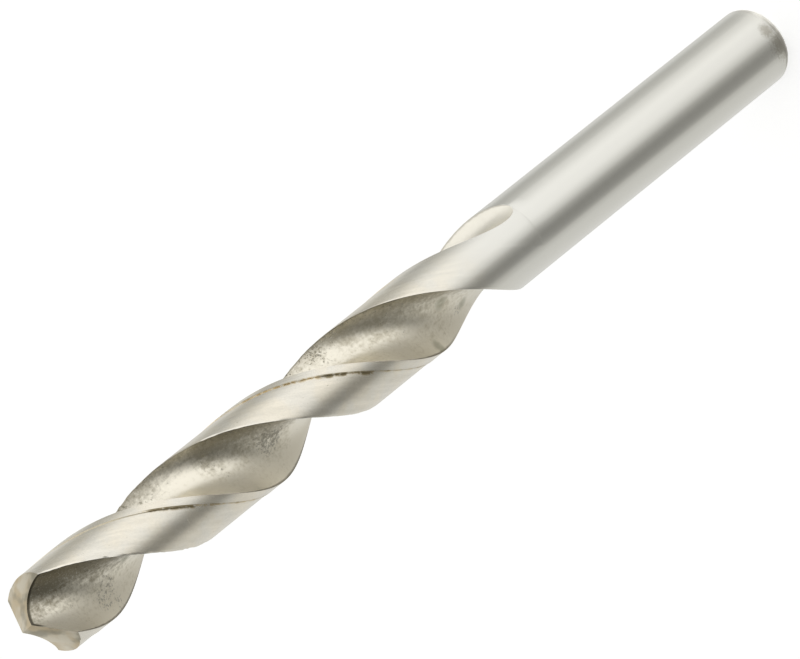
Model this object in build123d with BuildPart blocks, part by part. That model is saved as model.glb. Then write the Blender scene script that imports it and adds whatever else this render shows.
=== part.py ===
"""A parallel-shank twist drill: one bar of high-speed steel with two right-hand helical
flutes, ground margins, body clearance and a conically ground point.

The drill stands on the flat end of its shank. z = 0 is that end, +Z runs up the axis to
the point, and lengths are millimetres and angles degrees.
"""
from build123d import *
import os
from math import asin, cos, degrees, pi, radians, sin, sqrt, tan

# Bar
drill_diameter = 10.0
shank_diameter = 9.96      # the fluted body tapers back to it from the point
overall_length = 133.0
shank_chamfer_length = 0.9
shank_chamfer_depth = 0.6

# Flutes
flute_length = 84.5        # from the chisel edge to the last trace of the flutes
helix_angle = 28.6         # of the leading edges, at the drill's diameter
flute_angle = 102.2        # of the section that one flute takes, at the drill's diameter
web_thickness = 2.0        # of the core at the point
web_growth = 0.002         # of the core's thickness, for each millimetre towards the shank
wheel_radius = 30.0        # of the wheel that leaves each flute's run-out

# Lands
margin_width = 1.25        # of the full-diameter strip behind each leading edge
clearance_depth = 0.10     # of the land behind the margin
clearance_runout = 5.0     # of the length over which that relief fades out

# Point
point_angle = 118.0
lip_relief = 10.0          # of the flank, square to the lip
cone_half_angle = 42.0     # of the cone that each flank is a part of
cone_setback = 10.0        # of that cone's apex, across the axis from its lip

# How finely the helical cutters are laid out, and how far they pass the bar
station_turn = 30.0
runout_stations = 6
rake_spans = 3
overrun = 2.0

drill_radius = drill_diameter / 2
shank_radius = shank_diameter / 2
relieved_radius = drill_radius - clearance_depth
half_web = web_thickness / 2
helix_lead = pi * drill_diameter / tan(radians(helix_angle))
lip_slope = 1 / tan(radians(point_angle / 2))
lip_twist = 360 * lip_slope / helix_lead
flute_end = overall_length - flute_length
flute_depth = drill_radius - half_web


def point_on_rake(along):
    """The section of the rake face: the straight lip, each point of it carried round the
    helix by as much as that point of the lip lies below the chisel edge."""
    x, y = along, half_web
    turn = radians(lip_twist * along)
    return (x * cos(turn) - y * sin(turn), x * sin(turn) + y * cos(turn))


lip_length = sqrt(drill_radius**2 - half_web**2)
leading_angle = degrees(asin(half_web / drill_radius)) + lip_twist * lip_length
heel_angle = leading_angle + flute_angle
margin_angle = degrees(margin_width / drill_radius)
margin_keep_angle = margin_angle + flute_angle / 3


def twist(height):
    """How far the section at a height is turned from the section at the point."""
    return 360 * (height - overall_length) / helix_lead


def section_plane(height, turn, shift=0.0):
    """The plane of a section: turned with the helix, and shifted out of the flute."""
    angle = radians(twist(height) + turn)
    origin = (-shift * sin(angle), shift * cos(angle), height)
    return Plane(origin=origin, x_dir=(cos(angle), sin(angle), 0), z_dir=(0, 0, 1))


def web_lift(height):
    """How far the thickening core has pushed the flute out."""
    return web_growth * (overall_length - height) / 2


# The wheel climbs out of the flute along its own rim, from the start of the run-out to
# the height where the flute's bottom meets the bar's surface.
last_depth = flute_depth - web_lift(flute_end)
runout_length = sqrt(wheel_radius**2 - (wheel_radius - last_depth) ** 2)
runout_start = flute_end + runout_length


def flute_shift(height):
    """How far the flute's section is pushed out: by the core, and then by the wheel."""
    into_runout = max(0.0, runout_start - height)
    wheel_lift = wheel_radius - sqrt(wheel_radius**2 - into_runout**2)
    return web_lift(height) + wheel_lift


def stations(low, high, count_below, low_break):
    """Heights of the sections of a helical cutter: close together up to low_break, and
    then at most station_turn apart."""
    run = [low + (low_break - low) * i / count_below for i in range(count_below)]
    steps = int((high - low_break) / helix_lead * 360 / station_turn) + 1
    return run + [low_break + (high - low_break) * i / steps for i in range(steps + 1)]


# One flute: the rake face on the cutting side, the core, and the hollow of the heel.
heel_corner = Vector(drill_radius, 0, 0).rotate(Axis.Z, heel_angle)
rake_length = sqrt((drill_radius + overrun) ** 2 - half_web**2)
rake_points = [point_on_rake(rake_length * i / rake_spans) for i in range(rake_spans + 1)]
cutter_top = drill_radius + 2 * overrun

with BuildPart() as flute:
    for height in stations(
        flute_end - overrun, overall_length + overrun, runout_stations, runout_start
    ):
        with BuildSketch(section_plane(height, 0, flute_shift(height))):
            with BuildLine():
                rake = Spline(*rake_points)
                heel = TangentArc((0, half_web), heel_corner, tangent=(-1, 0))
                heel_wall = Line(heel @ 1, heel @ 1 + (heel % 1) * overrun)
                Polyline(
                    rake @ 1,
                    ((rake @ 1).X, cutter_top),
                    ((heel_wall @ 1).X, cutter_top),
                    heel_wall @ 1,
                )
            make_face()
    loft()


# The margins: thin sectors behind the leading edges, which the body clearance leaves.
margin_start = leading_angle - margin_angle

with BuildPart() as margin:
    for height in stations(
        runout_start - overrun, overall_length + overrun, 1, runout_start
    ):
        with BuildSketch(section_plane(height, margin_start)):
            with BuildLine():
                inner = CenterArc((0, 0), relieved_radius - overrun, 0, margin_keep_angle)
                outer = CenterArc((0, 0), drill_radius + 2 * overrun, 0, margin_keep_angle)
                Line(inner @ 0, outer @ 0)
                Line(inner @ 1, outer @ 1)
            make_face()
    loft()

# The body clearance: a tube around the relieved lands, which fades out before the flutes'
# run-out and passes over the margins.
with BuildPart() as clearance:
    with BuildSketch(Plane.XZ):
        with BuildLine():
            Polyline(
                (relieved_radius, overall_length + overrun),
                (relieved_radius, runout_start + clearance_runout),
                (drill_radius, runout_start),
                (drill_radius + overrun, runout_start),
                (drill_radius + overrun, overall_length + overrun),
                close=True,
            )
        make_face()
    revolve(axis=Axis.Z)
    with PolarLocations(0, 2):
        add(margin.part, mode=Mode.SUBTRACT)


# The point: each flank is part of a cone that has the lip as one of its straight lines.
def cone_axis():
    """The direction of the grinding cone's axis, from its apex into the drill."""
    half_point, relief_turn = radians(point_angle / 2), radians(lip_relief)
    half_cone = radians(cone_half_angle)
    along_lip = Vector(sin(half_point), 0, -cos(half_point))
    out_of_flank = Vector(
        cos(half_point) * cos(relief_turn), -sin(relief_turn), sin(half_point) * cos(relief_turn)
    )
    return along_lip * cos(half_cone) - out_of_flank * sin(half_cone)


def chisel_drop():
    """How far the chisel edge lies below the height where the lip would meet the axis."""
    axis = cone_axis()
    across = cone_setback * axis.X - half_web * axis.Y
    cosine = cos(radians(cone_half_angle)) ** 2
    square = axis.Z**2 - cosine
    rest = across**2 - cosine * (cone_setback**2 + half_web**2)
    root = sqrt((across * axis.Z) ** 2 - square * rest)
    below_apex = (across * axis.Z + root) / square
    return below_apex - cone_setback * lip_slope


# The length that holds all of the ground point.
point_zone = drill_radius * lip_slope * 2
apex = Vector(
    -cone_setback, half_web, overall_length + chisel_drop() + cone_setback * lip_slope
)
cone_height = 2 * (cone_setback + drill_diameter) + point_zone

with BuildPart() as point:
    with Locations((0, 0, overall_length - point_zone)):
        Cylinder(drill_radius, 2 * point_zone, align=(Align.CENTER, Align.CENTER, Align.MIN))
    for turn in (0, 180):
        flank = Plane(origin=apex.rotate(Axis.Z, turn), z_dir=-cone_axis().rotate(Axis.Z, turn))
        with Locations(flank):
            Cone(
                cone_height * tan(radians(cone_half_angle)),
                0,
                cone_height,
                align=(Align.CENTER, Align.CENTER, Align.MAX),
                mode=Mode.INTERSECT,
            )

with BuildPart() as twist_drill:
    Cylinder(
        shank_radius, flute_end, align=(Align.CENTER, Align.CENTER, Align.MIN)
    )
    chamfer(
        twist_drill.edges().sort_by(Axis.Z)[0], shank_chamfer_length, shank_chamfer_depth
    )
    with Locations((0, 0, flute_end)):
        Cone(
            shank_radius,
            drill_radius,
            flute_length - point_zone,
            align=(Align.CENTER, Align.CENTER, Align.MIN),
        )
    add(point.part)
    add(clearance.part, mode=Mode.SUBTRACT)
    with PolarLocations(0, 2):
        add(flute.part, mode=Mode.SUBTRACT)

twist_drill.part.label = "twist_drill"
os.makedirs("parts", exist_ok=True)
export_step(twist_drill.part, "parts/twist_drill.step")
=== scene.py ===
"""A dressed model of a parallel-shank twist drill in bright high-speed steel.

The drill stands on the flat end of its shank with its point up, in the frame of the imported
part: +Z runs from the shank to the point, and one lip runs along +X at the point. One fine
mesh takes the place of the solid, with the same form, and each ground, milled or stained
surface of it has a finish of its own. Sizes are millimetres until a mesh is written.
"""

import logging
import math
from dataclasses import dataclass, field
from enum import Enum

import bpy
import bmesh
import numpy as np
from mathutils import Matrix, Vector

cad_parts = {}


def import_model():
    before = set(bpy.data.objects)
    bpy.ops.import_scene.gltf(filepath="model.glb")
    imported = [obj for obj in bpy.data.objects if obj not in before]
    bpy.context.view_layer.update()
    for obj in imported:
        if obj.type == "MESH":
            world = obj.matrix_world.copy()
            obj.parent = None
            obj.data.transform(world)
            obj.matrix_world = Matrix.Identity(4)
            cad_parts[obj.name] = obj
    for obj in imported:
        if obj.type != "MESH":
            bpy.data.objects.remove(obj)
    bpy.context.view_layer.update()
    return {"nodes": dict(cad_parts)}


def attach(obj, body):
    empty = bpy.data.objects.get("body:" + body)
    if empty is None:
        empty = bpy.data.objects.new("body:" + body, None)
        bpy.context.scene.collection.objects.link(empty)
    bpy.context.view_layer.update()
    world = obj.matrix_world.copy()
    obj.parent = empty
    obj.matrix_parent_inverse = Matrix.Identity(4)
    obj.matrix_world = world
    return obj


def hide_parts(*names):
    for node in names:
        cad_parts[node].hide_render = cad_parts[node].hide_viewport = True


LOG = logging.getLogger("twist_drill")
METRES = 0.001
SEARCH_STEPS = 40  # of each search for where two curves or surfaces meet
# What each point of the fluted body is marked with, in millimetres along the surface: how
# far it lies from the leading edge, from the heel's edge, and below the point's surface.
MARKS = ("lead", "heel", "drop")
UNMARKED = 99.0  # what the points of every other surface are marked with

Colour = tuple[float, float, float]
Triple = tuple[float, float, float]  # a place, a direction, or a stretch along each axis
Places = tuple[tuple[float, ...], ...]
Noise = tuple[float, ...]  # waves in a millimetre, finer layers, and how strong those are
Band = tuple[float, float]  # where a soft change begins and ends
Stops = tuple[tuple[float, float], ...]  # rises above the horizon and their brightness


def turned(x: np.ndarray, y: np.ndarray, angle: np.ndarray) -> tuple[np.ndarray, np.ndarray]:
    """Returns the coordinates of points that are turned round the axis."""
    return x * np.cos(angle) - y * np.sin(angle), x * np.sin(angle) + y * np.cos(angle)


class Surface(Enum):
    """The finishes on the drill, in the order of the mesh's material slots."""

    GROUND = 0
    FLUTE = 1
    FLANK = 2
    SHANK_END = 3


@dataclass(frozen=True)
class DrillSizes:
    """The drill's driving dimensions, in millimetres and degrees."""

    drill_diameter: float = 10.0
    shank_diameter: float = 9.96
    overall_length: float = 133.0
    shank_chamfer_length: float = 0.9
    shank_chamfer_depth: float = 0.6
    flute_length: float = 84.5
    helix_angle: float = 28.6
    flute_angle: float = 102.2
    web_thickness: float = 2.0
    web_growth: float = 0.002
    wheel_radius: float = 30.0
    margin_width: float = 1.25
    clearance_depth: float = 0.10
    clearance_runout: float = 5.0
    point_angle: float = 118.0
    lip_relief: float = 10.0
    cone_half_angle: float = 42.0
    cone_setback: float = 10.0

    @property
    def radius(self) -> float:
        """The radius over the margins at the point."""
        return self.drill_diameter / 2

    @property
    def half_web(self) -> float:
        """Half the core's thickness at the point."""
        return self.web_thickness / 2

    @property
    def helix_lead(self) -> float:
        """The length in which the flutes turn once round the drill."""
        return math.pi * self.drill_diameter / math.tan(math.radians(self.helix_angle))

    @property
    def point_zone(self) -> float:
        """The length that holds all of the point, over which the bar has its full diameter."""
        return 2 * self.radius * self.lip_slope

    @property
    def lip_slope(self) -> float:
        """How far a lip falls for each millimetre away from the axis."""
        return 1 / math.tan(math.radians(self.point_angle / 2))

    @property
    def lip_twist(self) -> float:
        """How far the helix turns, in radians, for each millimetre along the lip."""
        return 2 * math.pi * self.lip_slope / self.helix_lead

    @property
    def flute_end(self) -> float:
        """The height of the last trace of the flutes."""
        return self.overall_length - self.flute_length

    @property
    def lip_length(self) -> float:
        """The straight lip's length across the axis, from over the axis to the corner."""
        return math.sqrt(self.radius**2 - self.half_web**2)

    @property
    def leading_angle(self) -> float:
        """The direction of the lip's outer corner, in radians."""
        return math.asin(self.half_web / self.radius) + self.lip_twist * self.lip_length

    @property
    def runout_start(self) -> float:
        """The height where the wheel begins to leave the flute."""
        deep = self.radius - self.half_web - self.web_growth * self.flute_length / 2
        across = math.sqrt(self.wheel_radius**2 - (self.wheel_radius - deep) ** 2)
        return self.flute_end + across


class FlutedForm:
    """The drill's surface as formulas: sections that turn with the helix, and the point."""

    def __init__(self, sizes: DrillSizes) -> None:
        """Works out the heel's arc and the cones of the two flanks.

        Args:
            sizes: the drill's driving dimensions.
        """
        self.sizes = sizes
        heel = sizes.leading_angle + math.radians(sizes.flute_angle)
        heel_x, heel_y = sizes.radius * math.cos(heel), sizes.radius * math.sin(heel)
        rise = heel_y - sizes.half_web
        self.heel_radius = (heel_x**2 + rise**2) / (2 * rise)
        self.heel_sweep = 2 * math.atan2(rise, -heel_x)
        self.cone_axis = self.grinding_axis()
        self.cone_apex = np.array([-sizes.cone_setback, sizes.half_web, 0.0])
        self.cone_apex[2] = sizes.overall_length - self.cone_height(np.zeros(1), np.zeros(1))[0]

    def grinding_axis(self) -> np.ndarray:
        """Works out how the cone that the first flank is a part of is turned.

        Returns:
            The direction of its axis into the drill.
        """
        s = self.sizes
        half_point, relief = math.radians(s.point_angle / 2), math.radians(s.lip_relief)
        half_cone = math.radians(s.cone_half_angle)
        along_lip = np.array([math.sin(half_point), 0, -math.cos(half_point)])
        out_of_flank = np.array([
            math.cos(half_point) * math.cos(relief),
            -math.sin(relief),
            math.sin(half_point) * math.cos(relief),
        ])
        return along_lip * math.cos(half_cone) - out_of_flank * math.sin(half_cone)

    def cone_height(self, x: np.ndarray, y: np.ndarray) -> np.ndarray:
        """Finds the height of the cone's lower sheet over points of the plane.

        Args:
            x: distances along the first lip.
            y: distances across it.

        Returns:
            The heights.
        """
        cosine = math.cos(math.radians(self.sizes.cone_half_angle)) ** 2
        dx, dy = x - self.cone_apex[0], y - self.cone_apex[1]
        axis_x, axis_y, axis_z = self.cone_axis
        across = dx * axis_x + dy * axis_y
        square = axis_z**2 - cosine
        rest = across**2 - cosine * (dx**2 + dy**2)
        root = np.sqrt(np.maximum((across * axis_z) ** 2 - square * rest, 0))
        return self.cone_apex[2] - (across * axis_z + root) / square

    def flank_height(self, x: np.ndarray, y: np.ndarray, side: int) -> np.ndarray:
        """Returns the height of the first lip's flank, side 0, or of the other, side 1."""
        sign = 1 - 2 * side
        return self.cone_height(sign * x, sign * y)

    def point_height(self, x: np.ndarray, y: np.ndarray) -> np.ndarray:
        """Returns the height of the point's surface, the lower of the two flanks."""
        return np.minimum(self.flank_height(x, y, 0), self.flank_height(x, y, 1))

    def twist(self, height: np.ndarray) -> np.ndarray:
        """Returns how far a section is turned from the section at the point."""
        s = self.sizes
        return 2 * np.pi * (height - s.overall_length) / s.helix_lead

    def flute_shift(self, height: np.ndarray) -> np.ndarray:
        """Finds how far the thickening core and the wheel's rise push the flute outwards.

        Args:
            height: the heights of the sections.

        Returns:
            The shifts.
        """
        s = self.sizes
        into_runout = np.clip(s.runout_start - height, 0, s.wheel_radius)
        lift = s.wheel_radius - np.sqrt(s.wheel_radius**2 - into_runout**2)
        return s.web_growth * (s.overall_length - height) / 2 + lift

    def bar_radius(self, height: np.ndarray) -> np.ndarray:
        """Finds the radius of the margins and the shank, with the body's back taper.

        Args:
            height: the heights of the sections.

        Returns:
            The radii.
        """
        s = self.sizes
        share = np.clip((height - s.flute_end) / (s.flute_length - s.point_zone), 0, 1)
        return s.shank_diameter / 2 + (s.drill_diameter - s.shank_diameter) / 2 * share

    def land_radius(self, height: np.ndarray) -> np.ndarray:
        """Finds the radius of the relieved land behind the margin.

        Args:
            height: the heights of the sections.

        Returns:
            The radii.
        """
        s = self.sizes
        faded = np.clip((s.runout_start + s.clearance_runout - height) / s.clearance_runout, 0, 1)
        relieved = s.radius - s.clearance_depth * (1 - faded)
        return np.minimum(relieved, self.bar_radius(height))

    def rake(self, along: np.ndarray, shift: np.ndarray) -> tuple[np.ndarray, np.ndarray]:
        """Places points of the rake face's section.

        Args:
            along: distances along the straight lip.
            shift: how far the flute is pushed out.

        Returns:
            The points' two coordinates, in the section's own directions.
        """
        s = self.sizes
        x, y = turned(along, s.half_web, s.lip_twist * along)
        return x, y + shift

    def heel(self, turn: np.ndarray, shift: np.ndarray) -> tuple[np.ndarray, np.ndarray]:
        """Places points of the heel side's arc.

        Args:
            turn: how far round the arc, in radians, from the bottom of the flute.
            shift: how far the flute is pushed out.

        Returns:
            The points' two coordinates.
        """
        s = self.sizes
        x = -self.heel_radius * np.sin(turn)
        y = s.half_web + self.heel_radius * (1 - np.cos(turn)) + shift
        return x, y

    def reach(self, kind: str, shift: np.ndarray, radius: np.ndarray) -> np.ndarray:
        """Finds where the rake curve or the heel's arc leaves the bar.

        Args:
            kind: "rake" or "heel".
            shift: how far the flute is pushed out.
            radius: the radius of the bar there.

        Returns:
            The distance along the lip, or the turn round the arc.
        """
        if kind == "rake":
            curve, beyond = self.rake, self.sizes.radius * 1.3
        else:
            curve, beyond = self.heel, self.heel_sweep * 1.15
        low, high = np.zeros_like(shift), np.full_like(shift, beyond)
        for _ in range(SEARCH_STEPS):
            middle = (low + high) / 2
            x, y = curve(middle, shift)
            inside = np.hypot(x, y) < radius
            low, high = np.where(inside, middle, low), np.where(inside, high, middle)
        return low


@dataclass
class DrillMesh:
    """Builds the drill's mesh in columns that follow the helix and rows that climb it."""

    form: FlutedForm
    heel_columns: int = 26
    land_columns: int = 34
    margin_columns: int = 6
    chisel_columns: int = 3
    heel_crowding: float = 1.25
    row_step: float = 0.42
    first_step: float = 0.02
    fine_rows: int = 22
    shank_rows: int = 24
    chamfer_easing: float = 0.45
    chip_depth: float = 0.16
    chip_pitches: tuple[float, ...] = (2.3, 5.1, 8.7, 13.9)
    sharp_angle: float = 28.0
    points: list = field(default_factory=list)
    marks: list = field(default_factory=list)
    faces: list = field(default_factory=list)
    slots: list = field(default_factory=list)

    @property
    def rake_columns(self) -> int:
        """As many as give the lip the same number of points as the heel's line."""
        return self.heel_columns + 2 * self.chisel_columns + 1

    @property
    def corner_column(self) -> int:
        """The column that climbs to the corner between the lip and the chisel edge."""
        return self.rake_columns - self.chisel_columns - 1

    @property
    def flute_columns(self) -> int:
        """The columns of one flute."""
        return self.rake_columns + self.heel_columns

    def corner_along(self) -> float:
        """Finds where the chisel edge meets the lip.

        Returns:
            A distance along the lip.
        """
        low, high = 0.0, self.form.sizes.radius / 2
        for _ in range(SEARCH_STEPS):
            middle = (low + high) / 2
            above = self.flank_gap(np.array([[middle, self.form.sizes.half_web]]))[0] > 0
            low, high = (middle, high) if above else (low, middle)
        return low

    def half_ring(self, height: np.ndarray) -> tuple[np.ndarray, np.ndarray]:
        """Places one half of a section: a flute, then the land and margin after it.

        Args:
            height: each point's height, with one column for each point of the ring.

        Returns:
            The two coordinates of the points, before the section is turned.
        """
        form, s = self.form, self.form.sizes
        shift, bar = form.flute_shift(height), form.bar_radius(height)
        land, n_land = form.land_radius(height), self.land_columns
        x, y = np.empty_like(height), np.empty_like(height)

        rake = slice(0, self.rake_columns)
        end = form.reach("rake", shift[:, rake], bar[:, rake])
        x[:, rake], y[:, rake] = form.rake(end * self.rake_shares(), shift[:, rake])

        heel = slice(self.rake_columns, self.flute_columns)
        worn = land[:, heel] - self.chips(height[:, heel])
        end = form.reach("heel", shift[:, heel], worn)
        share = 1 - np.linspace(1, 0, self.heel_columns + 1)[1:] ** self.heel_crowding
        x[:, heel], y[:, heel] = form.heel(end * share, shift[:, heel])

        outer = slice(self.flute_columns, None)
        shift, bar, land = shift[:, outer], bar[:, outer], land[:, outer]
        lead = form.reach("rake", shift, bar)
        lead_x, lead_y = form.rake(lead, shift)
        lead_angle = np.arctan2(lead_y, lead_x) + np.pi
        back = form.reach("heel", shift, land - self.chips(height[:, outer]))
        back_x, back_y = form.heel(back, shift)
        back_angle = np.arctan2(back_y, back_x)
        step_angle = form.sizes.leading_angle + np.pi - s.margin_width / s.radius
        land_share = (np.arange(n_land) + 1) / n_land
        margin_share = np.arange(self.margin_columns) / self.margin_columns
        angle = np.concatenate([
            back_angle[:, :n_land] + (step_angle - back_angle[:, :n_land]) * land_share,
            step_angle + (lead_angle[:, n_land:] - step_angle) * margin_share,
        ], axis=1)
        radius = np.concatenate([land[:, :n_land], bar[:, n_land:]], axis=1)
        x[:, outer], y[:, outer] = radius * np.cos(angle), radius * np.sin(angle)
        return x, y

    def chips(self, height: np.ndarray) -> np.ndarray:
        """Finds how far the heel's edge is worn back, in small chips near the point.

        Args:
            height: the heights of the sections.

        Returns:
            The wear, in millimetres.
        """
        s = self.form.sizes
        waves = [np.sin(height * pitch + pitch) for pitch in self.chip_pitches]
        ripple = sum(waves) / len(waves)
        worn = np.clip((height - s.runout_start) / (s.overall_length - s.runout_start), 0, 1)
        return self.chip_depth * (0.12 + worn * np.clip(0.3 + ripple, 0, 1))

    def rake_shares(self) -> np.ndarray:
        """Spaces the rake's columns: along the lip, and then under the chisel edge.

        Returns:
            Shares of the lip's length, from its outer corner inwards.
        """
        share = self.corner_along() / self.form.sizes.lip_length
        lip = np.linspace(1, share, self.corner_column + 1)
        return np.concatenate([lip, share * np.array([0.67, 0.33, 0.0])])

    def climb(self) -> np.ndarray:
        """Spaces the rows of the fluted body, which are close together at the run-out.

        Returns:
            Heights above the flutes' end.
        """
        fine = np.cumsum(np.linspace(self.first_step, self.row_step, self.fine_rows))
        rest = self.form.sizes.flute_length - fine[-1]
        count = int(rest / self.row_step)
        return np.concatenate([[0.0], fine, fine[-1] + rest * np.arange(1, count + 1) / count])

    def fluted_rows(self) -> tuple[np.ndarray, np.ndarray]:
        """Places every point of the fluted body, up to the point's surface.

        Returns:
            An array of rows by columns by coordinates, and the same array of marks.
        """
        s = self.form.sizes
        half = self.flute_columns + self.land_columns + self.margin_columns
        climb = self.climb() / s.flute_length
        top = np.full((1, half), s.overall_length - 2.0)
        for _ in range(SEARCH_STEPS):
            x, y = self.placed(top, 0)
            top = self.form.point_height(x, y)
        height = s.flute_end + climb[:, None] * (top - s.flute_end)
        halves = []
        for side in (0, 1):
            x, y = self.placed(height, side)
            halves.append(np.stack([x, y, height], axis=2))
        rows = np.concatenate(halves, axis=1)
        drop = (1 - climb[:, None]) * (top - s.flute_end)
        return rows, self.measured(rows, np.concatenate([drop, drop], axis=1))

    def measured(self, rows: np.ndarray, drop: np.ndarray) -> np.ndarray:
        """Measures how far each point lies from the two edges of its flute or land.

        Args:
            rows: the points, by rows and columns.
            drop: how far each lies below the point's surface.

        Returns:
            The three marks of each point.
        """
        half = rows.shape[1] // 2
        step = np.linalg.norm(np.roll(rows, -1, axis=1) - rows, axis=2)[:, :half]
        walk = np.concatenate([np.zeros((len(rows), 1)), np.cumsum(step, axis=1)], axis=1)
        heel = self.flute_columns - 1
        total, own = walk[:, -1:], walk[:, :-1]
        from_heel = np.abs(own - walk[:, heel : heel + 1])
        from_lead = np.where(np.arange(half) <= heel, own, total - own)
        both = [np.concatenate([part, part], axis=1) for part in (from_lead, from_heel)]
        return np.stack([*both, drop], axis=2)

    def placed(self, height: np.ndarray, side: int) -> tuple[np.ndarray, np.ndarray]:
        """Returns a half ring in the drill's own directions, from the lip of one side."""
        x, y = self.half_ring(height)
        return turned(x, y, self.form.twist(height) + np.pi * side)

    def add_points(self, rows: np.ndarray, marks: np.ndarray | None = None) -> np.ndarray:
        """Adds a grid of points.

        Args:
            rows: the points.
            marks: the three marks of each, if they lie on the fluted body.

        Returns:
            The points' numbers, in the grid's shape.
        """
        start = len(self.points)
        self.points.extend(rows.reshape(-1, 3).tolist())
        marks = np.full_like(rows, UNMARKED) if marks is None else marks
        self.marks.extend(marks.reshape(-1, 3).tolist())
        return start + np.arange(rows.size // 3).reshape(rows.shape[:-1])

    def add_grid(self, numbers: np.ndarray, kinds: list, closed: bool) -> None:
        """Adds the faces between a grid's points.

        Args:
            numbers: the points' numbers, rows from the bottom up and columns anticlockwise.
            kinds: the surface to the left of each column's next one.
            closed: whether the last column joins the first.
        """
        rows, columns = numbers.shape
        for i in range(rows - 1):
            for j in range(columns if closed else columns - 1):
                k = (j + 1) % columns
                self.faces.append(
                    [numbers[i, j], numbers[i, k], numbers[i + 1, k], numbers[i + 1, j]]
                )
                self.slots.append(kinds[j].value)

    def add_fluted_body(self) -> np.ndarray:
        """Adds the flutes and lands.

        Returns:
            The numbers of the body's points.
        """
        numbers = self.add_points(*self.fluted_rows())
        outer = self.land_columns + self.margin_columns
        kinds = [Surface.FLUTE] * (self.flute_columns - 1) + [Surface.GROUND] * (outer + 1)
        self.add_grid(numbers, kinds * 2, closed=True)
        return numbers

    def add_flank(self, ring: np.ndarray, chisel: np.ndarray, side: int) -> None:
        """Adds one flank, from its lip and chisel edge back to its heel.

        Args:
            ring: the numbers of the body's top row, which begins at the side's lip corner.
            chisel: the numbers along the chisel edge, from the far side's corner to this one's.
            side: 0 for the first lip's flank, 1 for the other.
        """
        half, corner = len(ring) // 2, self.corner_column
        lip = ring[: corner + 1][::-1]
        last = half + self.flute_columns - 1
        heel = ring[half + corner : last + 1]
        outer = np.concatenate([ring[last:], ring[:1]])
        place = np.array(self.points)
        across = np.linspace(0, 1, len(outer))[:, None, None]
        along = np.linspace(0, 1, len(heel))[None, :, None]
        back, front = place[heel][None], place[lip][None]
        inner, rim = place[chisel][:, None], place[outer][:, None]
        ruled = (1 - across) * back + across * front
        crossed = (1 - along) * inner + along * rim
        corners = (
            (1 - across) * ((1 - along) * back[:, :1] + along * back[:, -1:])
            + across * ((1 - along) * front[:, :1] + along * front[:, -1:])
        )
        grid = ruled + crossed - corners
        grid[:, :, 2] = self.form.flank_height(grid[:, :, 0], grid[:, :, 1], side)
        numbers = np.zeros(grid.shape[:2], dtype=int)
        numbers[1:-1, 1:-1] = self.add_points(grid[1:-1, 1:-1])
        numbers[0, :], numbers[-1, :], numbers[:, -1], numbers[:, 0] = heel, lip, outer, chisel
        self.add_grid(numbers, [Surface.FLANK] * (len(heel) - 1), closed=False)

    def build(self) -> None:
        """Adds every surface of the drill."""
        body = self.add_fluted_body()
        top, half = body[-1], body.shape[1] // 2
        chisel = self.add_chisel(top[self.corner_column], top[half + self.corner_column])
        self.add_flank(top, chisel, 0)
        self.add_flank(np.roll(top, -half), chisel[::-1], 1)
        self.add_shank(body[0])

    def add_chisel(self, near: int, far: int) -> np.ndarray:
        """Adds the chisel edge, where the two flanks meet.

        Args:
            near: the number of the first lip's corner.
            far: the number of the other lip's corner.

        Returns:
            The numbers along the edge, from the far corner to the near one.
        """
        first, second = np.array(self.points[near]), np.array(self.points[far])
        count = self.land_columns + self.margin_columns + 2
        share = np.linspace(0, 1, count)[1:-1, None]
        line = second[:2] + (first[:2] - second[:2]) * share
        normal = np.array([-(first - second)[1], (first - second)[0]])
        normal = normal / np.linalg.norm(normal)
        offset, step = np.zeros(len(line)), 0.001
        for _ in range(12):
            at = line + offset[:, None] * normal
            miss = self.flank_gap(at)
            offset -= miss * step / (self.flank_gap(at + step * normal) - miss)
        at = line + offset[:, None] * normal
        ridge = np.column_stack([at, self.form.point_height(at[:, 0], at[:, 1])])
        return np.concatenate([[far], self.add_points(ridge), [near]])

    def flank_gap(self, at: np.ndarray) -> np.ndarray:
        """Returns how far the first flank lies above the second."""
        own = self.form.flank_height(at[:, 0], at[:, 1], 0)
        return own - self.form.flank_height(at[:, 0], at[:, 1], 1)

    def add_shank(self, ring: np.ndarray) -> None:
        """Adds the plain shank, its chamfer and its flat end.

        Args:
            ring: the numbers of the fluted body's lowest row.
        """
        s = self.form.sizes
        columns = np.concatenate([part[self.flute_columns - 1 :] for part in np.split(ring, 2)])
        place = np.array(self.points)[columns]
        angle = np.arctan2(place[:, 1], place[:, 0])
        radius, deep, long = s.shank_diameter / 2, s.shank_chamfer_depth, s.shank_chamfer_length
        inner, ease = radius - deep, self.chamfer_easing
        lengths = np.linspace(s.flute_end, long * (1 + ease), self.shank_rows)[1:]
        profile = [(radius, z) for z in lengths]
        profile += self.eased(
            (radius, long * (1 + ease)), (radius, long), (radius - deep * ease, long * (1 - ease))
        )
        profile += self.eased(
            (inner + deep * ease, long * ease), (inner, 0.0), (inner - deep * ease, 0.0)
        )
        profile += [(inner * share, 0.0) for share in (0.66, 0.33)]
        rows = [
            np.column_stack([r * np.cos(angle), r * np.sin(angle), np.full(len(angle), z)])
            for r, z in profile
        ]
        grid = self.add_points(np.array(rows))
        grid = np.concatenate([columns[None], grid])
        plain = self.shank_rows - 1
        for i in range(len(grid) - 1):
            kind = Surface.GROUND if i < plain else Surface.SHANK_END
            self.add_grid(grid[[i + 1, i]], [kind] * len(columns), closed=True)
        centre = self.add_points(np.zeros((1, 3)))[0]
        for j in range(len(columns)):
            self.faces.append([centre, grid[-1, (j + 1) % len(columns)], grid[-1, j]])
            self.slots.append(Surface.SHANK_END.value)

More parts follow.
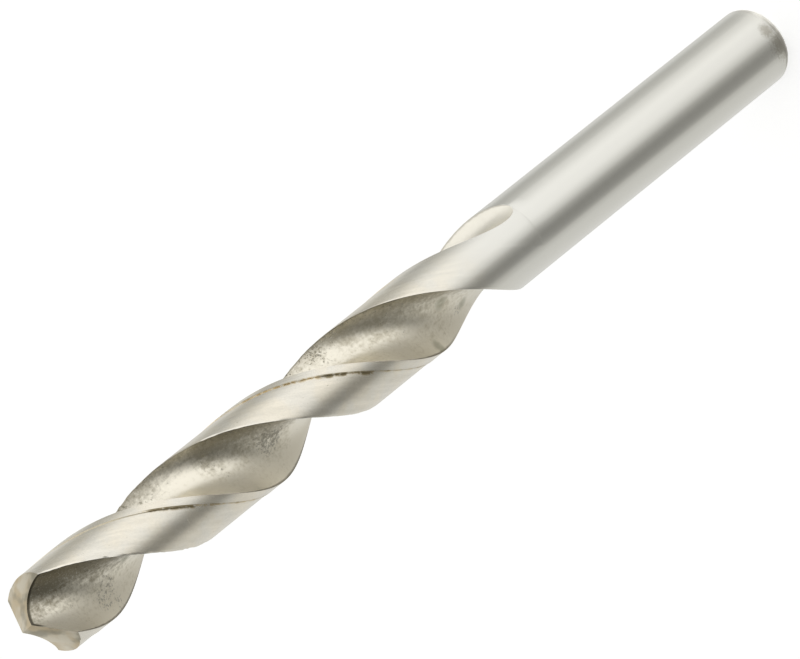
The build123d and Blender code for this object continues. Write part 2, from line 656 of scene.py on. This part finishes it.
    @staticmethod
    def eased(start: tuple, corner: tuple, end: tuple) -> list:
        """Rounds a corner of a profile.

        Args:
            start: where the curve leaves the first line.
            corner: the corner that it cuts.
            end: where it meets the second line.

        Returns:
            The curve's points after its start.
        """
        shares = np.linspace(0, 1, 6)[1:, None]
        first, middle, last = (np.array([point]) for point in (start, corner, end))
        curve = (1 - shares) ** 2 * first + 2 * shares * (1 - shares) * middle + shares**2 * last
        return [tuple(point) for point in curve]

    def write(self, name: str, materials: list) -> bpy.types.Object:
        """Turns the points and faces into an object, in metres.

        Args:
            name: the object's name.
            materials: one material for each surface, in the order of Surface.

        Returns:
            The new object.
        """
        self.build()
        mesh = bpy.data.meshes.new(name)
        mesh.from_pydata((np.array(self.points) * METRES).tolist(), [], self.faces)
        for material in materials:
            mesh.materials.append(material)
        mesh.polygons.foreach_set("material_index", self.slots)
        for column, mark in enumerate(MARKS):
            layer = mesh.attributes.new(mark, "FLOAT", "POINT")
            layer.data.foreach_set("value", [marks[column] for marks in self.marks])
        work = bmesh.new()
        work.from_mesh(mesh)
        bmesh.ops.remove_doubles(work, verts=work.verts, dist=2e-7)
        bmesh.ops.dissolve_degenerate(work, edges=work.edges, dist=1e-7)
        bmesh.ops.recalc_face_normals(work, faces=work.faces)
        for face in work.faces:
            face.smooth = True
        work.to_mesh(mesh)
        work.free()
        mesh.set_sharp_from_angle(angle=math.radians(self.sharp_angle))
        drill = bpy.data.objects.new(name, mesh)
        bpy.context.scene.collection.objects.link(drill)
        return drill


class Wire:
    """One output socket, with arithmetic that adds the node for each step."""

    def __init__(self, graph: "Graph", socket: bpy.types.NodeSocket) -> None:
        """Wraps a socket.

        Args:
            graph: the node tree's wrapper.
            socket: the output socket.
        """
        self.graph = graph
        self.socket = socket

    @property
    def is_vector(self) -> bool:
        """Whether the socket carries a vector rather than one number."""
        return self.socket.type == "VECTOR"

    def step(self, operation: str, first: "Feed", second: "Feed") -> "Wire":
        """Adds one Math or Vector Math node.

        Args:
            operation: the node's operation.
            first: its first input.
            second: its second input.

        Returns:
            The node's result.
        """
        if self.is_vector:
            return self.graph.vector(operation, first, second)
        return self.graph.maths(operation, first, second)

    def __add__(self, other: "Feed") -> "Wire":
        """Returns the sum."""
        return self.step("ADD", self, other)

    def __radd__(self, other: "Feed") -> "Wire":
        """Returns the reflected sum."""
        return self.step("ADD", other, self)

    def __sub__(self, other: "Feed") -> "Wire":
        """Returns the difference."""
        return self.step("SUBTRACT", self, other)

    def __rsub__(self, other: "Feed") -> "Wire":
        """Returns the reflected difference."""
        return self.step("SUBTRACT", other, self)

    def __mul__(self, other: "Feed") -> "Wire":
        """Returns the product."""
        return self.step("MULTIPLY", self, other)

    def __rmul__(self, other: "Feed") -> "Wire":
        """Returns the reflected product."""
        return self.step("MULTIPLY", other, self)

    def __truediv__(self, other: "Feed") -> "Wire":
        """Returns the quotient."""
        return self.step("DIVIDE", self, other)

    def __rtruediv__(self, other: "Feed") -> "Wire":
        """Returns the reflected quotient."""
        return self.step("DIVIDE", other, self)

    def __or__(self, other: "Feed") -> "Wire":
        """Returns the larger of the two."""
        return self.step("MAXIMUM", self, other)

    def __neg__(self) -> "Wire":
        """Returns the opposite."""
        return self.step("MULTIPLY", self, -1.0)


Feed = Wire | float | int | tuple | Vector


class Graph:
    """A node tree and the few ways in which nodes are added to it."""

    def __init__(self, tree: bpy.types.NodeTree) -> None:
        """Empties the tree.

        Args:
            tree: a material's or the world's node tree.
        """
        self.tree = tree
        tree.nodes.clear()

    def feed(self, socket: bpy.types.NodeSocket, value: Feed) -> None:
        """Links or sets one input.

        Args:
            socket: the input socket.
            value: a wire to link, or a constant in the socket's own form.
        """
        if isinstance(value, Wire):
            self.tree.links.new(value.socket, socket)
        elif socket.type == "VECTOR" and isinstance(value, (int, float)):
            socket.default_value = (value, value, value)
        elif socket.type == "RGBA" and len(value) == 3:
            socket.default_value = (*value, 1.0)
        else:
            socket.default_value = value

    def node(self, kind: str, settings: dict, inputs: dict, output: int | str = 0) -> Wire:
        """Adds any node.

        Args:
            kind: the node's type, without its ShaderNode prefix.
            settings: the node's own settings, which are set first.
            inputs: values or wires by the input's name, number or identifier.
            output: the output to return.

        Returns:
            The chosen output, which holds no socket where the node has none.
        """
        made = self.tree.nodes.new("ShaderNode" + kind)
        for name, value in settings.items():
            setattr(made, name, value)
        for name, value in inputs.items():
            self.feed(self.socket(made.inputs, name), value)
        return Wire(self, self.socket(made.outputs, output) if made.outputs else None)

    @staticmethod
    def socket(sockets: bpy.types.bpy_prop_collection, name: int | str) -> bpy.types.NodeSocket:
        """Finds a node's socket by its identifier, or else by its name or number."""
        return {socket.identifier: socket for socket in sockets}.get(name) or sockets[name]

    def fade(self, value: Feed, low: float, high: float) -> Wire:
        """Returns 1 below low and 0 above high, with a soft change between."""
        return 1.0 - self.smooth(value, low, high)

    def maths(self, operation: str, *values: Feed) -> Wire:
        """Adds a Math node and returns its value."""
        return self.node("Math", {"operation": operation}, dict(enumerate(values)))

    def vector(self, operation: str, *values: Feed) -> Wire:
        """Adds a Vector Math node and returns its vector."""
        return self.node("VectorMath", {"operation": operation}, dict(enumerate(values)))

    def dot(self, first: Feed, second: Feed) -> Wire:
        """Returns the dot product of two vectors."""
        settings = {"operation": "DOT_PRODUCT"}
        return self.node("VectorMath", settings, {0: first, 1: second}, "Value")

    def combine(self, x: Feed, y: Feed, z: Feed) -> Wire:
        """Returns a vector made of three numbers."""
        return self.node("CombineXYZ", {}, {"X": x, "Y": y, "Z": z})

    def blend(self, factor: Feed, first: Feed, second: Feed) -> Wire:
        """Returns a colour between two colours."""
        inputs = {"Factor_Float": factor, "A_Color": first, "B_Color": second}
        return self.node("Mix", {"data_type": "RGBA"}, inputs, "Result_Color")

    def shaded(self, colour: Feed, level: Wire) -> Wire:
        """Darkens or lightens a colour.

        Args:
            colour: the colour.
            level: what it is multiplied by.

        Returns:
            The colour that results.
        """
        settings = {"data_type": "RGBA", "blend_type": "MULTIPLY"}
        grey = self.combine(level, level, level)
        inputs = {"Factor_Float": 1.0, "A_Color": colour, "B_Color": grey}
        return self.node("Mix", settings, inputs, "Result_Color")

    def smooth(self, value: Feed, low: float, high: float) -> Wire:
        """Returns 0 below low and 1 above high, with a soft change between.

        Args:
            value: the number that is tested.
            low: where the result leaves 0.
            high: where it reaches 1.

        Returns:
            The result.
        """
        settings = {"interpolation_type": "SMOOTHSTEP"}
        inputs = {"Value": value, "From Min": low, "From Max": high}
        return self.node("MapRange", settings, inputs)

    def noise(self, place: Feed, scale: float, detail: float = 3.0, rough: float = 0.5) -> Wire:
        """Returns a noise between 0 and 1.

        Args:
            place: where it is read.
            scale: how many of its waves lie in one unit of length.
            detail: how many finer layers it has.
            rough: how strong those are.

        Returns:
            The noise.
        """
        inputs = {"Vector": place, "Scale": scale, "Detail": detail, "Roughness": rough}
        return self.node("TexNoise", {}, inputs, "Fac")

    def ramp(self, value: Feed, stops: tuple[tuple[float, tuple], ...]) -> Wire:
        """Returns a colour from a smooth ramp.

        Args:
            value: the place on the ramp, from 0 to 1.
            stops: places and colours.

        Returns:
            The colour.
        """
        wire = self.node("ValToRGB", {}, {"Fac": value}, "Color")
        band = wire.socket.node.color_ramp
        band.interpolation = "EASE"
        for _ in stops[2:]:
            band.elements.new(0.5)
        for element, (place, colour) in zip(band.elements, stops):
            element.position = place
            element.color = (*colour, 1.0)
        return wire


@dataclass(frozen=True)
class DrillPlace:
    """Where a shaded point lies on the drill, as wires, in millimetres."""

    graph: Graph
    sizes: DrillSizes
    place: Wire
    height: Wire
    radius: Wire
    lead: Wire
    heel: Wire
    drop: Wire

    @classmethod
    def on(cls, graph: Graph, sizes: DrillSizes) -> "DrillPlace":
        """Works the place out from the object's own coordinates and the mesh's marks.

        Args:
            graph: the material's node tree.
            sizes: the drill's driving dimensions.

        Returns:
            The place.
        """
        place = graph.node("TexCoord", {}, {}, "Object") * 1000.0
        split = graph.node("SeparateXYZ", {}, {"Vector": place}).socket.node
        x, y, z = (Wire(graph, output) for output in split.outputs)
        radius = graph.maths("SQRT", x * x + y * y)
        marks = (graph.node("Attribute", {"attribute_name": mark}, {}, "Fac") for mark in MARKS)
        return cls(graph, sizes, place, z, radius, *marks)

    def streaks(self, across: float, along: float) -> Wire:
        """Returns a noise drawn out along the helix.

        Args:
            across: how many of its waves lie in a millimetre across the flute or land.
            along: how many lie in a millimetre of height.

        Returns:
            The noise.
        """
        seat = self.graph.combine(self.lead * across, self.height * along, self.heel * 0.02)
        return self.graph.noise(seat, 1.0, 3.0, 0.55)

    def spots(self, centres: Places, ragged: Wire) -> Wire:
        """Places soft spots with uneven edges.

        Args:
            centres: each spot's centre on the surface, and then its radius.
            ragged: a noise that makes the edges uneven.

        Returns:
            1 inside a spot and 0 outside them all.
        """
        graph, inside = self.graph, None
        for *centre, size in centres:
            inputs = {0: self.place, 1: tuple(centre)}
            away = graph.node("VectorMath", {"operation": "DISTANCE"}, inputs, "Value")
            spot = graph.fade(away + (ragged - 0.5) * size * 1.2, size * 0.25, size)
            inside = spot if inside is None else inside | spot
        return inside

    def stretches(self, spans: Places) -> Wire:
        """Marks stretches of the drill's length.

        Args:
            spans: each stretch's lower and upper height, and the length of its soft ends.

        Returns:
            1 inside a stretch and 0 outside them all.
        """
        graph, inside = self.graph, None
        for low, high, ease in spans:
            span = graph.smooth(self.height, low - ease, low)
            span = span * graph.fade(self.height, high, high + ease)
            inside = span if inside is None else inside | span
        return inside


@dataclass(frozen=True)
class Finish:
    """What every finish on the drill shares: a bare metal."""

    colour: Colour
    roughness: float

    def shade(self, at: DrillPlace) -> dict[str, Feed]:
        """Returns the values of the metal's inputs.

        Args:
            at: where the shaded point lies.

        Returns:
            Values or wires by the input's name.
        """
        return {"Base Color": self.colour, "Roughness": self.roughness}

    def material(self, name: str, sizes: DrillSizes) -> bpy.types.Material:
        """Makes the material.

        Args:
            name: its name.
            sizes: the drill's driving dimensions.

        Returns:
            The material.
        """
        made = bpy.data.materials.new(name)
        made.use_nodes = True
        graph = Graph(made.node_tree)
        inputs = {"Metallic": 1.0, **self.shade(DrillPlace.on(graph, sizes))}
        metal = graph.node("BsdfPrincipled", {}, inputs)
        graph.node("OutputMaterial", {}, {"Surface": metal})
        return made

    @staticmethod
    def bump(graph: Graph, height: Feed, distance: float, strength: float = 1.0) -> Wire:
        """Returns a normal that a height bends.

        Args:
            graph: the material's node tree.
            height: the height, from 0 to 1.
            distance: what a height of 1 stands for, in millimetres.
            strength: how much of it is used.

        Returns:
            The normal.
        """
        inputs = {"Height": height, "Distance": distance * METRES, "Strength": strength}
        return graph.node("Bump", {}, inputs, "Normal")


@dataclass(frozen=True)
class GroundSteel(Finish):
    """The cylindrically ground shank and lands, with the wear of the margins."""

    land: Colour = (0.805, 0.755, 0.645)
    residue: Colour = (0.20, 0.165, 0.095)
    straw: Colour = (0.70, 0.56, 0.33)
    burr: Colour = (0.90, 0.87, 0.80)
    grease: Places = ((2.0, 4.55, 2.2, 1.3), (3.9, 3.1, 1.2, 2.4))
    thick_residue: Places = ((79.5, 84.5, 1.5), (110.0, 114.0, 1.5))
    flecked_residue: Places = ((83.0, 92.0, 2.0),)
    clean_point: Band = (113.5, 117.0)
    ring_noise: Noise = (1.0, 4.0, 0.6)
    ring_stretch: Triple = (0.5, 0.5, 7.0)
    patch_noise: Noise = (0.30, 3.0)
    mottle_noise: Noise = (3.4, 4.0, 0.65)
    reach_noise: Noise = (0.45, 3.0, 0.6)
    blotch_noise: Noise = (1.6, 4.0, 0.65)
    warm_band: Band = (0.35, 0.60)
    speck_band: Band = (0.64, 0.74)
    burr_band: Band = (0.0, 0.16)
    grinding_depth: float = 0.0012

    def shade(self, at: DrillPlace) -> dict[str, Feed]:
        """Shades ground steel: fine rings round it, and dark residue in the hollows of its land.

        Args:
            at: where the shaded point lies.

        Returns:
            Values or wires by the input's name.
        """
        graph, sizes = at.graph, at.sizes
        rings = graph.noise(at.place * self.ring_stretch, *self.ring_noise)
        patches = graph.noise(at.place, *self.patch_noise)
        fluted = graph.smooth(at.height, sizes.runout_start - 12.0, sizes.runout_start + 8.0)
        streaks = at.streaks(1.3, 0.20)
        mottled = graph.noise(at.place, *self.mottle_noise)
        uneven = (streaks - 0.5) * 0.28 + (mottled - 0.5) * 0.20 + (patches - 0.5) * 0.12
        level = 0.965 + rings * 0.03 + uneven * fluted
        warm = fluted * (0.55 + graph.smooth(patches, *self.warm_band) * 0.45)
        steel = graph.blend(warm, self.colour, self.land)
        steel = graph.shaded(steel, level)
        stain, tint = self.margin_residue(at)
        steel = graph.blend(tint, steel, self.straw)
        worn = graph.fade(at.heel + (mottled - 0.5) * 0.5, *self.burr_band) * fluted
        steel = graph.blend(worn * 0.6, steel, self.burr)
        specks = graph.smooth(mottled, *self.speck_band) * fluted
        dirt = stain | (specks * 0.5 | at.spots(self.grease, mottled) * 0.45)
        return {
            "Base Color": graph.blend(dirt, steel, self.residue),
            "Roughness": self.roughness + (rings - 0.5) * 0.06 + stain * 0.25 + fluted * 0.04,
            "Normal": self.bump(graph, rings, self.grinding_depth),
        }

    def margin_residue(self, at: DrillPlace) -> tuple[Wire, Wire]:
        """Places the dried oil and heat tint that cling behind the margin's step.

        Args:
            at: where the shaded point lies.

        Returns:
            How dark the residue is, and how strong the straw tint beside it.
        """
        graph, sizes = at.graph, at.sizes
        behind = at.lead - sizes.margin_width
        reach = graph.noise(at.place, *self.reach_noise)
        blotch = graph.noise(at.place, *self.blotch_noise)
        thick = at.stretches(self.thick_residue)
        flecked = thick | at.stretches(self.flecked_residue) * 0.75
        step = graph.fade(graph.maths("ABSOLUTE", behind - 0.05), 0.03, 0.15)
        spread = graph.fade(behind - reach * 0.9 - flecked * 0.28, -0.35, 0.02)
        spread = spread * graph.smooth(behind, -0.03, 0.03)
        soiled = graph.smooth(reach * 0.5 + blotch * 0.5 + thick * 0.14, 0.48, 0.64)
        fluted = graph.smooth(at.height, sizes.runout_start + 2.0, sizes.runout_start + 9.0)
        used = fluted * graph.fade(at.height, *self.clean_point)
        stain = step * (0.25 + soiled * 0.35 + thick * 0.35)
        stain = stain | spread * soiled * (0.35 + thick * 0.6)
        tint = spread * graph.smooth(blotch + flecked * 0.04, 0.42, 0.58) * 0.75
        return stain * used, tint * used


@dataclass(frozen=True)
class FluteSteel(Finish):
    """The milled and hardened flutes: lighter on the rake side, darker towards the heel with soot
    and painted shade.
    """

    fresh: Colour = (0.89, 0.855, 0.76)
    stain: Colour = (0.56, 0.51, 0.385)
    # The dark colour of the soot and of the painted shade towards the heel, which also draws the
    # thin dark lines beside the flute's edges.
    soot_and_shade: Colour = (0.16, 0.142, 0.10)
    pit: Colour = (0.07, 0.062, 0.042)
    olive: Colour = (0.27, 0.27, 0.18)
    stains: Places = (
        (0.96, 0.79, 63.13, 1.3), (1.19, -1.92, 58.93, 1.1), (3.66, -1.71, 66.59, 1.1),
        (4.3, -2.1, 66.4, 1.2), (1.13, 0.69, 118.2, 0.9), (4.6, 1.0, 99.0, 1.6),
    )
    crowded: Places = (
        (0.85, 0.62, 94.0, 3.6), (1.1, -2.2, 60.0, 2.6), (2.4, -1.5, 121.5, 6.0),
    )
    # Painted highlights: stretches of the flute where the stain and soot thin out, so that the
    # flute is lighter there.
    painted_highlights: Places = ((79.0, 88.0, 3.0), (104.0, 111.0, 2.5))
    cloud_noise: Noise = (0.32, 3.0, 0.55)
    mottle_noise: Noise = (2.2, 5.0, 0.65)
    fleck_noise: Noise = (5.2, 3.0, 0.7)
    pit_noise: Noise = (3.1, 4.0, 0.75)
    crowd_noise: Noise = (0.36, 2.0)
    dull_band: Band = (0.0, 0.50)
    soot_and_shade_band: Band = (0.50, 0.88)
    fleck_band: Band = (0.57, 0.66)
    rubbed_band: Band = (0.15, 0.55)
    pit_band: Band = (0.98, 1.09)
    heel_line: Band = (0.06, 0.34)
    # Where the painted shadow beside the leading edge fades out, in millimetres from that edge.
    lead_edge_shadow: Band = (0.10, 0.36)
    flank_line: Band = (0.24, 0.48)
    pit_depth: float = 0.035

    def shade(self, at: DrillPlace) -> dict[str, Feed]:
        """Shades milled steel with its stains, pits and worn places, soot and painted shade
        towards the heel, and painted highlights in two stretches.

        Args:
            at: where the shaded point lies.

        Returns:
            Values or wires by the input's name.
        """
        graph, sizes = at.graph, at.sizes
        share = at.lead / (at.lead + at.heel)
        cloud = graph.noise(at.place, *self.cloud_noise)
        mottled = graph.noise(at.place, *self.mottle_noise)
        streaks = at.streaks(1.7, 0.16)
        tip = graph.smooth(at.height, sizes.runout_start, sizes.overall_length + 4.0)
        used = graph.smooth(at.height, sizes.flute_end + 4.0, sizes.runout_start)
        rough = (mottled - 0.5) * 0.62 + (cloud - 0.5) * 0.40 + (streaks - 0.5) * 0.25
        # Painted highlights: the flute's stain and soot are lighter in these stretches.
        painted_highlights = at.stretches(self.painted_highlights)
        # The stain also deepens towards the heel, partly as painted shade.
        dull = graph.smooth(rough * 1.3 + share * 0.35 - painted_highlights * 0.22, *self.dull_band)
        colour = graph.blend(used, self.fresh, self.colour)
        colour = graph.blend(dull * used * 0.85, colour, self.stain)
        # Soot towards the heel and the point: partly real soot and partly painted shade on the
        # heel side of each flute.
        sooted_and_shaded = share + tip * 0.14 + rough * 0.7 - painted_highlights * 0.22
        sooted_and_shaded = graph.smooth(sooted_and_shaded, *self.soot_and_shade_band)
        flecks = graph.noise(at.place, *self.fleck_noise)
        worn_through = graph.smooth(flecks, *self.fleck_band)
        soot_and_shade = sooted_and_shaded * (0.27 + tip * 0.56) * used * (1.0 - worn_through * 0.5)
        rubbed = graph.fade(share, *self.rubbed_band)
        lines, flank = self.edge_lines(at, share, mottled)
        colour = graph.blend(soot_and_shade | lines, colour, self.soot_and_shade)
        colour = graph.blend(at.spots(self.stains, mottled) * 0.48, colour, self.olive)
        pits = self.pits(at, share, tip) * used
        return {
            "Base Color": graph.blend(pits * 0.5 | flank, colour, self.pit),
            "Roughness": self.roughness + (mottled - 0.5) * 0.18 + dull * 0.10 + rubbed * 0.20,
            "Normal": self.bump(graph, mottled * 0.5 + flecks * 0.12 - pits * 0.6, self.pit_depth),
        }

    def edge_lines(self, at: DrillPlace, share: Wire, mottled: Wire) -> tuple[Wire, Wire]:
        """Darkens the flute in thin lines beside its edges. The line beside the leading edge is a
        painted shadow of that edge.

        Args:
            at: where the shaded point lies.
            share: 0 at the leading edge and 1 at the heel's.
            mottled: a noise that makes the lines uneven.

        Returns:
            How dark the lines beside the land are (beside the heel's edge, and a painted shadow
            beside the leading edge), and the one under the flank.
        """
        graph, sizes = at.graph, at.sizes
        uneven = (mottled - 0.5) * 0.5
        heel = graph.fade(at.heel + uneven, *self.heel_line)
        # Painted shadow: a thin dark line in the flute beside the leading edge.
        lead = graph.fade(at.lead + uneven * 0.6, *self.lead_edge_shadow)
        used = graph.smooth(at.height, sizes.runout_start - 4.0, sizes.runout_start + 4.0)
        flank = graph.fade(at.drop + uneven * 0.3, *self.flank_line)
        flank = flank * graph.smooth(share, 0.30, 0.40)
        return heel * (0.45 + used * 0.25) | lead * used * 0.75, flank * 0.9

    def pits(self, at: DrillPlace, share: Wire, tip: Wire) -> Wire:
        """Scatters small ragged pits, thickest towards the heel and the point.

        Args:
            at: where the shaded point lies.
            share: 0 at the leading edge and 1 at the heel's.
            tip: 0 at the run-out and 1 at the point.

        Returns:
            1 in a pit and 0 outside one.
        """
        graph = at.graph
        small = graph.noise(at.place + (7.0, 3.0, 1.0), *self.pit_noise)
        crowd = graph.noise(at.place, *self.crowd_noise) * 0.42 + tip * 0.01 + share * 0.22
        crowd = crowd + at.spots(self.crowded, small) * 0.20
        return graph.smooth(small + crowd, *self.pit_band)


@dataclass(frozen=True)
class FlankSteel(Finish):
    """The ground flanks of the point, tinted straw by the grinding."""

    straw: Colour = (0.68, 0.575, 0.40)
    grey: Colour = (0.36, 0.335, 0.26)
    line_noise: Noise = (2.6, 3.0, 0.6)
    line_stretch: Triple = (3.0, 0.8, 3.0)
    cloud_noise: Noise = (0.42, 2.0)
    dull_noise: Noise = (0.38, 3.0, 0.45)
    straw_band: Band = (0.38, 0.62)
    dull_band: Band = (0.50, 0.66)
    line_depth: float = 0.008

    def shade(self, at: DrillPlace) -> dict[str, Feed]:
        """Shades the flanks, with the lines of their grinding across them.

        Args:
            at: where the shaded point lies.

        Returns:
            Values or wires by the input's name.
        """
        graph = at.graph
        lines = graph.noise(at.place * self.line_stretch, *self.line_noise)
        cloud = graph.noise(at.place, *self.cloud_noise)
        dull = graph.noise(at.place + (6.0, 4.0, 2.0), *self.dull_noise)
        dull = graph.smooth(dull, *self.dull_band)
        colour = graph.blend(graph.smooth(cloud, *self.straw_band), self.colour, self.straw)
        return {
            "Base Color": graph.blend(dull * 0.75, colour, self.grey),
            "Roughness": self.roughness + (lines - 0.5) * 0.12,
            "Normal": self.bump(graph, lines, self.line_depth),
        }


@dataclass(frozen=True)
class ShankEndSteel(Finish):
    """The turned chamfer and flat end, a little darker than the ground shank."""

    grime: Colour = (0.22, 0.20, 0.165)
    grease: Places = ((4.1, 2.6, 0.4, 2.6),)
    turning: float = 6.0
    patch_noise: Noise = (0.55, 3.0, 0.6)
    patch_band: Band = (0.36, 0.68)
    turning_depth: float = 0.01

    def shade(self, at: DrillPlace) -> dict[str, Feed]:
        """Shades turned steel, with rings about its axis and some grease.

        Args:
            at: where the shaded point lies.

        Returns:
            Values or wires by the input's name.
        """
        graph = at.graph
        turning = graph.combine(at.radius * self.turning, at.height * self.turning, 0.0)
        turning = graph.noise(turning, 1.0, 2.0)
        patches = graph.noise(at.place, *self.patch_noise)
        grimy = graph.smooth(patches, *self.patch_band) * 0.3
        grimy = grimy | at.spots(self.grease, patches) * 0.6
        return {
            "Base Color": graph.blend(grimy, self.colour, self.grime),
            "Roughness": self.roughness + (turning - 0.5) * 0.2,
            "Normal": self.bump(graph, turning, self.turning_depth),
        }


@dataclass(frozen=True)
class Studio:
    """The pale room: a white surface below, a broad soft light above, and darker sides.

    Its up is the direction that faces up when the drill lies as a hand would put it down:
    +Y of the drill's frame, which is square to its axis.
    """

    up: Triple = (-0.1256, 0.9921, 0.0)
    side: Triple = (0.9921, 0.1256, 0.0)
    darker: Stops = (
        (-1.0, 0.78), (-0.42, 0.72), (-0.20, 0.58), (0.02, 0.28), (0.22, 0.235),
        (0.40, 0.36), (0.60, 0.84), (0.72, 1.12), (1.0, 1.10),
    )
    lighter: Stops = (
        (-1.0, 0.78), (-0.42, 0.76), (-0.18, 0.72), (0.10, 0.50), (0.26, 0.50),
        (0.46, 0.60), (0.64, 0.82), (0.76, 1.10), (1.0, 1.10),
    )
    beyond: Stops = (
        (-1.0, 0.42), (-0.60, 0.36), (0.0, 0.20), (0.30, 0.24), (0.50, 0.50), (0.72, 1.12),
        (1.0, 1.16),
    )
    shank_light: Colour = (1.15, 1.14, 1.10)
    shank_shade: Colour = (0.50, 0.49, 0.46)
    shank_share: float = 0.95
    shankward: Band = (0.66, 0.78)
    shank_sides: Band = (-0.20, 0.10)
    side_band: Band = (-0.25, 0.25)
    beyond_ahead: Band = (-0.48, -0.16)
    beyond_side: Band = (-0.30, 0.15)
    floor_colour: Colour = (0.62, 0.62, 0.62)
    floor_glow: float = 0.70
    floor_size: float = 4.0

    def levels(self, graph: Graph, rise: Wire, stops: Stops) -> Wire:
        """Returns the room's brightness at a rise above the horizon.

        Args:
            graph: the world's node tree.
            rise: the sine of the rise, from -1 to 1.
            stops: rises and brightnesses.

        Returns:
            The brightness as a colour.
        """
        greys = tuple(((r + 1) / 2, (v, v, v * (0.94 + 0.05 * v))) for r, v in stops)
        return graph.ramp(rise * 0.5 + 0.5, greys)

    def light(self) -> None:
        """Makes the world, which the camera sees as white."""
        world = bpy.data.worlds.new("studio")
        bpy.context.scene.world = world
        world.use_nodes = True
        graph = Graph(world.node_tree)
        direction = graph.node("TexCoord", {}, {}, "Generated")
        rise = graph.dot(direction, self.up)
        sideways = graph.dot(direction, self.side)
        lighter = self.levels(graph, rise, self.lighter)
        darker = self.levels(graph, rise, self.darker)
        room = graph.blend(graph.smooth(sideways, *self.side_band), lighter, darker)
        ahead = graph.dot(direction, (0.0, 0.0, 1.0))
        shaded = graph.smooth(ahead, *self.beyond_ahead)
        shaded = shaded * graph.smooth(sideways, *self.beyond_side)
        room = graph.blend(shaded, room, self.levels(graph, rise, self.beyond))
        shankward = graph.smooth(-ahead, *self.shankward)
        sides = graph.smooth(sideways, *self.shank_sides)
        beside = graph.blend(sides, self.shank_light, self.shank_shade)
        room = graph.blend(shankward * self.shank_share, room, beside)
        seen = graph.node("LightPath", {}, {}, "Is Camera Ray")
        colour = graph.blend(seen, room, (1.0, 1.0, 1.0))
        background = graph.node("Background", {}, {"Color": colour, "Strength": 1.0})
        graph.node("OutputWorld", {}, {"Surface": background})

    def floor(self) -> bpy.types.Object:
        """Makes the floor, which the camera sees and the metal sees through.

        Returns:
            The floor.
        """
        half = self.floor_size / 2
        mesh = bpy.data.meshes.new("floor")
        corners = [(-half, -half, 0), (half, -half, 0), (half, half, 0), (-half, half, 0)]
        mesh.from_pydata(corners, [], [(0, 1, 2, 3)])
        material = bpy.data.materials.new("floor")
        material.use_nodes = True
        graph = Graph(material.node_tree)
        path = graph.node("LightPath", {}, {}, "Is Camera Ray").socket.node
        seen, shadow, glossy = (
            Wire(graph, path.outputs[name])
            for name in ("Is Camera Ray", "Is Shadow Ray", "Is Glossy Ray")
        )
        paper = graph.node("BsdfPrincipled", {}, {
            "Base Color": self.floor_colour,
            "Roughness": 0.9,
            "Specular IOR Level": 0.0,
            "Emission Color": graph.blend(seen, (0.0, 0.0, 0.0), (1.0, 1.0, 1.0)),
            "Emission Strength": self.floor_glow,
        })
        clear = graph.node("BsdfTransparent", {}, {})
        surface = graph.node("MixShader", {}, {0: shadow | glossy, 1: paper, 2: clear})
        graph.node("OutputMaterial", {}, {"Surface": surface})
        mesh.materials.append(material)
        floor = bpy.data.objects.new("floor", mesh)
        bpy.context.scene.collection.objects.link(floor)
        return floor


@dataclass(frozen=True)
class Viewpoint:
    """Where the camera stands: millimetres in the drill's frame."""

    place: Triple = (267.643, 464.078, 479.506)
    forward: Triple = (-0.396652, -0.687581, -0.608194)
    up: Triple = (-0.485865, 0.719382, -0.496411)
    lens: float = 270.0
    sensor: float = 36.0

    def make(self) -> bpy.types.Object:
        """Makes the scene's camera.

        Returns:
            The camera.
        """
        data = bpy.data.cameras.new("camera")
        data.lens, data.sensor_width = self.lens, self.sensor
        data.clip_start, data.clip_end = 0.01, 20.0
        camera = bpy.data.objects.new("camera", data)
        back, up = -Vector(self.forward), Vector(self.up)
        across = up.cross(back).normalized()
        up = back.cross(across).normalized()
        turn = Matrix((across, up, back)).transposed()
        camera.matrix_world = Matrix.Translation(Vector(self.place) * METRES) @ turn.to_4x4()
        bpy.context.scene.collection.objects.link(camera)
        bpy.context.scene.camera = camera
        return camera


def main() -> None:
    """Builds the drill, its finishes, the studio and the camera."""
    logging.basicConfig(level=logging.INFO, format="%(message)s")
    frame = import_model()
    bpy.context.scene.view_settings.view_transform = "Standard"
    sizes = DrillSizes()
    finishes = {
        Surface.GROUND: GroundSteel((0.795, 0.785, 0.735), 0.22),
        Surface.FLUTE: FluteSteel((0.84, 0.795, 0.68), 0.31),
        Surface.FLANK: FlankSteel((0.80, 0.735, 0.60), 0.36),
        Surface.SHANK_END: ShankEndSteel((0.76, 0.75, 0.70), 0.34),
    }
    materials = [finishes[kind].material(kind.name.lower() + "_steel", sizes) for kind in Surface]
    drill = DrillMesh(FlutedForm(sizes)).write("drill_body", materials)
    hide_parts("twist_drill")
    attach(drill, "root")
    LOG.info("%s: %d faces in place of twist_drill", drill.name, len(drill.data.polygons))
    studio = Studio()
    studio.light()
    LOG.info("%s: %.1f m wide", studio.floor().name, studio.floor_size)
    Viewpoint().make()
    LOG.info("nodes of the frame: %s", ", ".join(sorted(frame["nodes"])))


if __name__ == "__main__":
    main()
